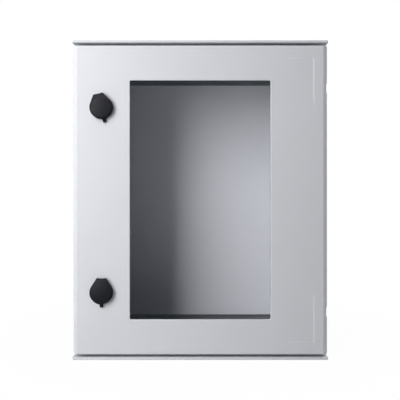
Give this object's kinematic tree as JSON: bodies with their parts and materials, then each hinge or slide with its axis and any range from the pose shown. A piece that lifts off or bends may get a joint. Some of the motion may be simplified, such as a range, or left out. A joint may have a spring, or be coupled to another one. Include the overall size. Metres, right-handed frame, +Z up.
{
  "type": "polyester electrical enclosure",
  "caption": "Wall-mounted light grey polyester enclosure with a hinged glazed door, rain lips, capped quarter-turn locks and a mounting plate inside.",
  "frame": {"origin": "centre of the back face, on the wall", "axes": "+X to the right seen from the front, +Y into the wall, +Z up; the door faces -Y"},
  "size_m": [0.4, 0.208, 0.5],
  "materials": {
    "body_polyester": "moulded glass-fibre polyester, fine satin texture",
    "door_polyester": "moulded glass-fibre polyester, fine satin texture",
    "pane": "clear polished safety glass",
    "plate_paint": "light grey powder paint, satin",
    "cap_plastic": "black moulded plastic, fine texture",
    "seal_rubber": "soft black foam rubber, matt",
    "zinc_steel": "zinc plated, satin",
    "stainless": "stainless, fine brushed",
    "retainer_aluminium": "extruded, natural anodised",
    "insert_brass": "turned",
    "lock_zinc": "zinc die-cast, satin"
  },
  "bodies": {
    "enclosure": {"enclosure_body": "body_polyester", "mounting_plate": "plate_paint", "plate_inserts": "insert_brass", "plate_screws": "zinc_steel"},
    "door": {"door_frame": "door_polyester", "door_gasket": "seal_rubber", "window_seal": "seal_rubber", "window_pane": "pane", "left_retainer": "retainer_aluminium", "right_retainer": "retainer_aluminium", "top_retainer": "retainer_aluminium", "bottom_retainer": "retainer_aluminium", "retainer_screws": "zinc_steel", "upper_hinge_leaf": "stainless", "lower_hinge_leaf": "stainless", "upper_hinge_pin": "stainless", "lower_hinge_pin": "stainless", "hinge_leaf_screws": "zinc_steel", "upper_lock_housing": "lock_zinc", "upper_lock_nut": "lock_zinc", "upper_cap_ring": "cap_plastic", "lower_lock_housing": "lock_zinc", "lower_lock_nut": "lock_zinc", "lower_cap_ring": "cap_plastic"},
    "upper_lock": {"upper_lock_rotor": "lock_zinc", "upper_lock_cam": "zinc_steel", "upper_cam_screw": "zinc_steel"},
    "upper_cap": {"upper_dust_cap": "cap_plastic", "upper_cap_pin": "stainless"},
    "lower_lock": {"lower_lock_rotor": "lock_zinc", "lower_lock_cam": "zinc_steel", "lower_cam_screw": "zinc_steel"},
    "lower_cap": {"lower_dust_cap": "cap_plastic", "lower_cap_pin": "stainless"}
  },
  "joints": [
    {"name": "door_hinge", "type": "hinge", "parent": "enclosure", "child": "door", "pos_m": [0.188, -0.1895, 0.175], "axis": [0, 0, 1], "range_deg": [0, 110]},
    {"name": "upper_lock_turn", "type": "hinge", "parent": "door", "child": "upper_lock", "pos_m": [-0.154, -0.2, 0.144], "axis": [0, 1, 0], "range_deg": [0, 90]},
    {"name": "upper_cap_flip", "type": "hinge", "parent": "door", "child": "upper_cap", "pos_m": [-0.15834, -0.2035, 0.16281], "axis": [-0.9744, 0, -0.225], "range_deg": [0, 110]},
    {"name": "lower_lock_turn", "type": "hinge", "parent": "door", "child": "lower_lock", "pos_m": [-0.154, -0.2, -0.144], "axis": [0, 1, 0], "range_deg": [0, 90]},
    {"name": "lower_cap_flip", "type": "hinge", "parent": "door", "child": "lower_cap", "pos_m": [-0.154, -0.2035, -0.1247], "axis": [-1, 0, 0], "range_deg": [0, 110]}
  ]
}
